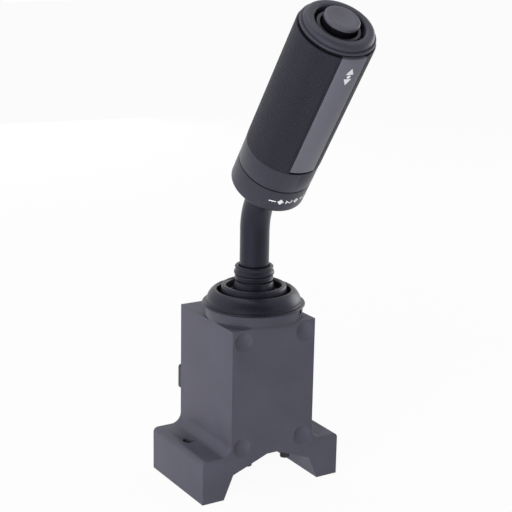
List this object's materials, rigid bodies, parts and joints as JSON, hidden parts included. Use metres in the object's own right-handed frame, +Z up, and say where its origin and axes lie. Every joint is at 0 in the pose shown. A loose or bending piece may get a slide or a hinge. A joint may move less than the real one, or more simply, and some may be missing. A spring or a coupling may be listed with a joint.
{
  "type": "control lever",
  "caption": "Control lever with a bent shaft, a knurled twist grip and a push-button on top, on a block housing with two feet and a rubber boot.",
  "frame": {"origin": "on the sole, midway between the two mounting holes", "axes": "+Z up along the upright part of the shaft; -Y to the front, where the grip leans; +X to the right hand of someone who looks at the front"},
  "size_m": [0.087, 0.1392, 0.2694],
  "materials": {
    "dark_plastic": "fine moulded grain",
    "grey_plastic": "satin",
    "black_plastic": "satin",
    "ivory_plastic": "satin",
    "grip_plastic": "satin",
    "knurl_plastic": "fine diamond knurl",
    "strip_plastic": "satin",
    "cap_plastic": "half gloss",
    "board_green": "solder mask",
    "friction_brown": "pressed fibre",
    "rubber": "half gloss",
    "cable_black": "satin",
    "shaft_paint": "satin",
    "zinc_steel": "zinc plated",
    "dark_steel": "black oxide",
    "cast_metal": "as cast",
    "contact_brass": "gold plated"
  },
  "bodies": {
    "base": {"housing": "dark_plastic", "rear_cover": "dark_plastic", "cover_seal": "rubber", "cover_screws": "zinc_steel", "connector_shell": "black_plastic", "connector_pins": "contact_brass", "flange_screws": "zinc_steel", "main_board": "board_green", "board_chips": "black_plastic", "board_screws": "zinc_steel", "cable_header": "ivory_plastic", "pivot_bracket": "zinc_steel", "bracket_screws": "dark_steel", "pivot_bushes": "ivory_plastic", "friction_discs": "friction_brown", "wave_washers": "zinc_steel", "tilt_sensor": "black_plastic", "sensor_screws": "zinc_steel", "boot_seat": "grey_plastic", "boot": "rubber", "cable_loop": "cable_black"},
    "lever": {"rocker": "cast_metal", "pivot_pin": "zinc_steel", "pin_clip": "dark_steel", "pivot_magnet": "zinc_steel", "shaft": "shaft_paint", "lever_cable": "cable_black", "index_ring": "grip_plastic", "grip_core": "black_plastic", "core_pin": "zinc_steel", "lower_bearing": "ivory_plastic", "upper_bearing": "ivory_plastic", "twist_board": "board_green", "detent_spring": "zinc_steel", "top_cap": "cap_plastic", "button_bezel": "grip_plastic", "button_switch": "black_plastic", "button_spring": "zinc_steel"},
    "twist_grip": {"sleeve": "grip_plastic", "knurled_cover": "knurl_plastic", "thumb_strip": "strip_plastic", "twist_magnet": "zinc_steel"},
    "push_button": {"button": "cap_plastic", "button_clip": "dark_steel"}
  },
  "joints": [
    {"name": "lever_tilt", "type": "hinge", "parent": "base", "child": "lever", "pos_m": [0, -0.0089, 0.076], "axis": [1, 0, 0], "range_deg": [-15, 15], "deforming": ["boot", "cable_loop"]},
    {"name": "grip_twist", "type": "hinge", "parent": "lever", "child": "twist_grip", "pos_m": [0, -0.0089, 0.153], "axis": [0, -0.565, 0.8251], "range_deg": [-27, 27]},
    {"name": "button_press", "type": "slide", "parent": "lever", "child": "push_button", "axis": [0, -0.565, 0.8251], "range_m": [-0.0018, 0], "stiffness_N_per_m": 900, "springref_m": 0.003, "deforming": ["button_spring"]}
  ]
}
